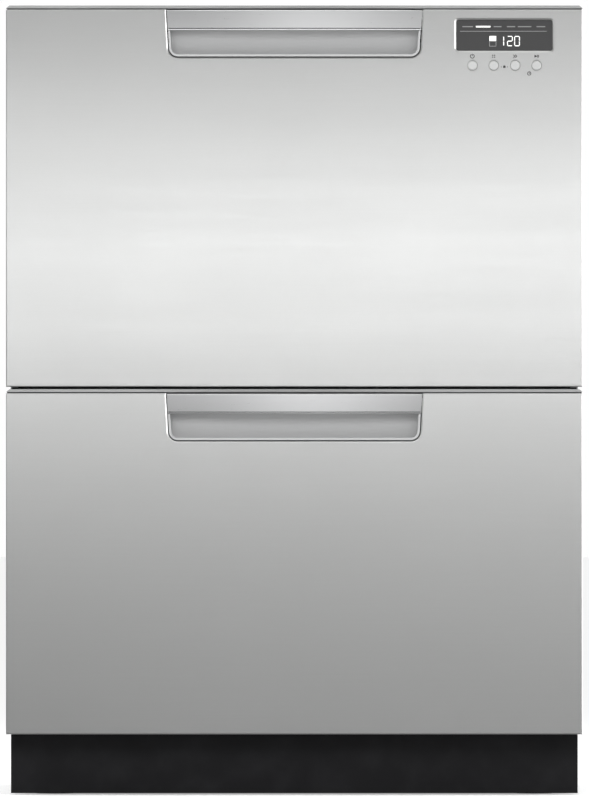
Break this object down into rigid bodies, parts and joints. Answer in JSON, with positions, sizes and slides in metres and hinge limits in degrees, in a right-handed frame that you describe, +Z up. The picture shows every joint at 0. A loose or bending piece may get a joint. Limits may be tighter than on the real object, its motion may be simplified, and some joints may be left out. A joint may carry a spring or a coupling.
{
  "type": "dishwasher drawer",
  "caption": "Built-in dishwasher with stacked pull-out drawers, each a tub with basket, spray arm and pump under a sealing lid, behind steel fronts with scooped pulls.",
  "frame": {"origin": "on the floor, under the middle of the machine's box", "axes": "+X to the right seen from the front, +Y from the front to the rear, +Z up"},
  "size_m": [0.599, 0.579, 0.82],
  "materials": {
    "cabinet_sheet": "galvanised sheet, lightly spangled",
    "base_plastic": "moulded, fine texture",
    "kick_black": "satin black paint",
    "valve_plastic": "moulded, matt",
    "foot_black": "moulded, matt",
    "runner_steel": "zinc plated",
    "lifter_plastic": "moulded, matt",
    "lid_plastic": "moulded, matt",
    "seal_rubber": "soft matt rubber",
    "front_steel": "brushed along the width",
    "frame_grey": "moulded, satin",
    "pan_silver": "silver paint, satin",
    "strap_satin": "satin anodised",
    "tub_plastic": "moulded, satin",
    "filter_plastic": "moulded, satin",
    "arm_plastic": "moulded, satin",
    "pump_black": "moulded, matt",
    "basket_wire": "nylon coated wire",
    "rack_plastic": "moulded, satin",
    "dispenser_plastic": "moulded, satin",
    "flap_plastic": "moulded, glossy",
    "window_dark": "smoked, glossy",
    "housing_black": "moulded, matt",
    "button_silver": "silver, satin"
  },
  "bodies": {
    "cabinet": {"cabinet_wrap": "cabinet_sheet", "top_panel": "cabinet_sheet", "base_tray": "base_plastic", "kickplate": "kick_black", "inlet_valve": "valve_plastic", "cord_gland": "base_plastic", "upper_left_fixed_runner": "runner_steel", "upper_right_fixed_runner": "runner_steel", "lower_left_fixed_runner": "runner_steel", "lower_right_fixed_runner": "runner_steel", "upper_left_lid_lifter": "lifter_plastic", "upper_right_lid_lifter": "lifter_plastic", "lower_left_lid_lifter": "lifter_plastic", "lower_right_lid_lifter": "lifter_plastic"},
    "upper_drawer": {"upper_front_panel": "front_steel", "upper_door_frame": "frame_grey", "upper_handle_pan": "pan_silver", "upper_handle_strap": "strap_satin", "upper_tub": "tub_plastic", "upper_filter_plate": "filter_plastic", "upper_wash_pump": "pump_black", "upper_basket": "basket_wire", "upper_dispenser": "dispenser_plastic", "upper_left_inner_runner": "runner_steel", "upper_right_inner_runner": "runner_steel", "display_window": "window_dark", "control_housing": "housing_black"},
    "lower_drawer": {"lower_front_panel": "front_steel", "lower_door_frame": "frame_grey", "lower_handle_pan": "pan_silver", "lower_handle_strap": "strap_satin", "lower_tub": "tub_plastic", "lower_filter_plate": "filter_plastic", "lower_wash_pump": "pump_black", "lower_basket": "basket_wire", "lower_dispenser": "dispenser_plastic", "lower_left_inner_runner": "runner_steel", "lower_right_inner_runner": "runner_steel"},
    "upper_mid_runners": {"upper_left_mid_runner": "runner_steel", "upper_right_mid_runner": "runner_steel"},
    "lower_mid_runners": {"lower_left_mid_runner": "runner_steel", "lower_right_mid_runner": "runner_steel"},
    "upper_sealing_lid": {"upper_lid": "lid_plastic", "upper_lid_seal": "seal_rubber"},
    "lower_sealing_lid": {"lower_lid": "lid_plastic", "lower_lid_seal": "seal_rubber"},
    "power_key": {"power_button": "button_silver"},
    "mode_key": {"mode_button": "button_silver"},
    "speed_key": {"speed_button": "button_silver"},
    "start_key": {"start_button": "button_silver"},
    "upper_rotor": {"upper_spray_arm": "arm_plastic"},
    "lower_rotor": {"lower_spray_arm": "arm_plastic"},
    "upper_cup_shelf": {"upper_cup_rack": "rack_plastic"},
    "lower_cup_shelf": {"lower_cup_rack": "rack_plastic"},
    "upper_detergent_flap": {"upper_dispenser_flap": "flap_plastic"},
    "lower_detergent_flap": {"lower_dispenser_flap": "flap_plastic"},
    "foot_front_left": {"front_left_foot": "foot_black"},
    "foot_front_right": {"front_right_foot": "foot_black"},
    "foot_rear_left": {"rear_left_foot": "foot_black"},
    "foot_rear_right": {"rear_right_foot": "foot_black"}
  },
  "joints": [
    {"name": "upper_drawer_slide", "type": "slide", "parent": "cabinet", "child": "upper_drawer", "axis": [0, -1, 0], "range_m": [0, 0.48]},
    {"name": "lower_drawer_slide", "type": "slide", "parent": "cabinet", "child": "lower_drawer", "axis": [0, -1, 0], "range_m": [0, 0.48]},
    {"name": "upper_runner_slide", "type": "slide", "parent": "cabinet", "child": "upper_mid_runners", "axis": [0, -1, 0], "range_m": [0, 0.24]},
    {"name": "lower_runner_slide", "type": "slide", "parent": "cabinet", "child": "lower_mid_runners", "axis": [0, -1, 0], "range_m": [0, 0.24]},
    {"name": "upper_lid_press", "type": "slide", "parent": "cabinet", "child": "upper_sealing_lid", "axis": [0, 0, -1], "range_m": [0, 0.008]},
    {"name": "lower_lid_press", "type": "slide", "parent": "cabinet", "child": "lower_sealing_lid", "axis": [0, 0, -1], "range_m": [0, 0.008]},
    {"name": "power_button_press", "type": "slide", "parent": "upper_drawer", "child": "power_key", "axis": [0, 1, 0], "range_m": [0, 0.001], "stiffness_N_per_m": 800},
    {"name": "mode_button_press", "type": "slide", "parent": "upper_drawer", "child": "mode_key", "axis": [0, 1, 0], "range_m": [0, 0.001], "stiffness_N_per_m": 800},
    {"name": "speed_button_press", "type": "slide", "parent": "upper_drawer", "child": "speed_key", "axis": [0, 1, 0], "range_m": [0, 0.001], "stiffness_N_per_m": 800},
    {"name": "start_button_press", "type": "slide", "parent": "upper_drawer", "child": "start_key", "axis": [0, 1, 0], "range_m": [0, 0.001], "stiffness_N_per_m": 800},
    {"name": "upper_spray_arm_spin", "type": "hinge", "parent": "upper_drawer", "child": "upper_rotor", "pos_m": [0, -0.0142, 0.53], "axis": [0, 0, 1], "continuous": true},
    {"name": "lower_spray_arm_spin", "type": "hinge", "parent": "lower_drawer", "child": "lower_rotor", "pos_m": [0, -0.0142, 0.152], "axis": [0, 0, 1], "continuous": true},
    {"name": "upper_cup_rack_fold", "type": "hinge", "parent": "upper_drawer", "child": "upper_cup_shelf", "pos_m": [-0.25, -0.0142, 0.637], "axis": [0, -1, 0], "range_deg": [0, 75]},
    {"name": "lower_cup_rack_fold", "type": "hinge", "parent": "lower_drawer", "child": "lower_cup_shelf", "pos_m": [-0.25, -0.0142, 0.259], "axis": [0, -1, 0], "range_deg": [0, 75]},
    {"name": "upper_dispenser_open", "type": "hinge", "parent": "upper_drawer", "child": "upper_detergent_flap", "pos_m": [-0.07, -0.2305, 0.711], "axis": [-1, 0, 0], "range_deg": [0, 80]},
    {"name": "lower_dispenser_open", "type": "hinge", "parent": "lower_drawer", "child": "lower_detergent_flap", "pos_m": [-0.07, -0.2305, 0.333], "axis": [-1, 0, 0], "range_deg": [0, 80]},
    {"name": "front_left_foot_screw", "type": "slide", "parent": "cabinet", "child": "foot_front_left", "axis": [0, 0, -1], "range_m": [0, 0.06]},
    {"name": "front_right_foot_screw", "type": "slide", "parent": "cabinet", "child": "foot_front_right", "axis": [0, 0, -1], "range_m": [0, 0.06]},
    {"name": "rear_left_foot_screw", "type": "slide", "parent": "cabinet", "child": "foot_rear_left", "axis": [0, 0, -1], "range_m": [0, 0.06]},
    {"name": "rear_right_foot_screw", "type": "slide", "parent": "cabinet", "child": "foot_rear_right", "axis": [0, 0, -1], "range_m": [0, 0.06]}
  ],
  "couplings": [
    {"joint": "upper_runner_slide", "follows": "upper_drawer_slide", "ratio": 0.5},
    {"joint": "lower_runner_slide", "follows": "lower_drawer_slide", "ratio": 0.5}
  ]
}
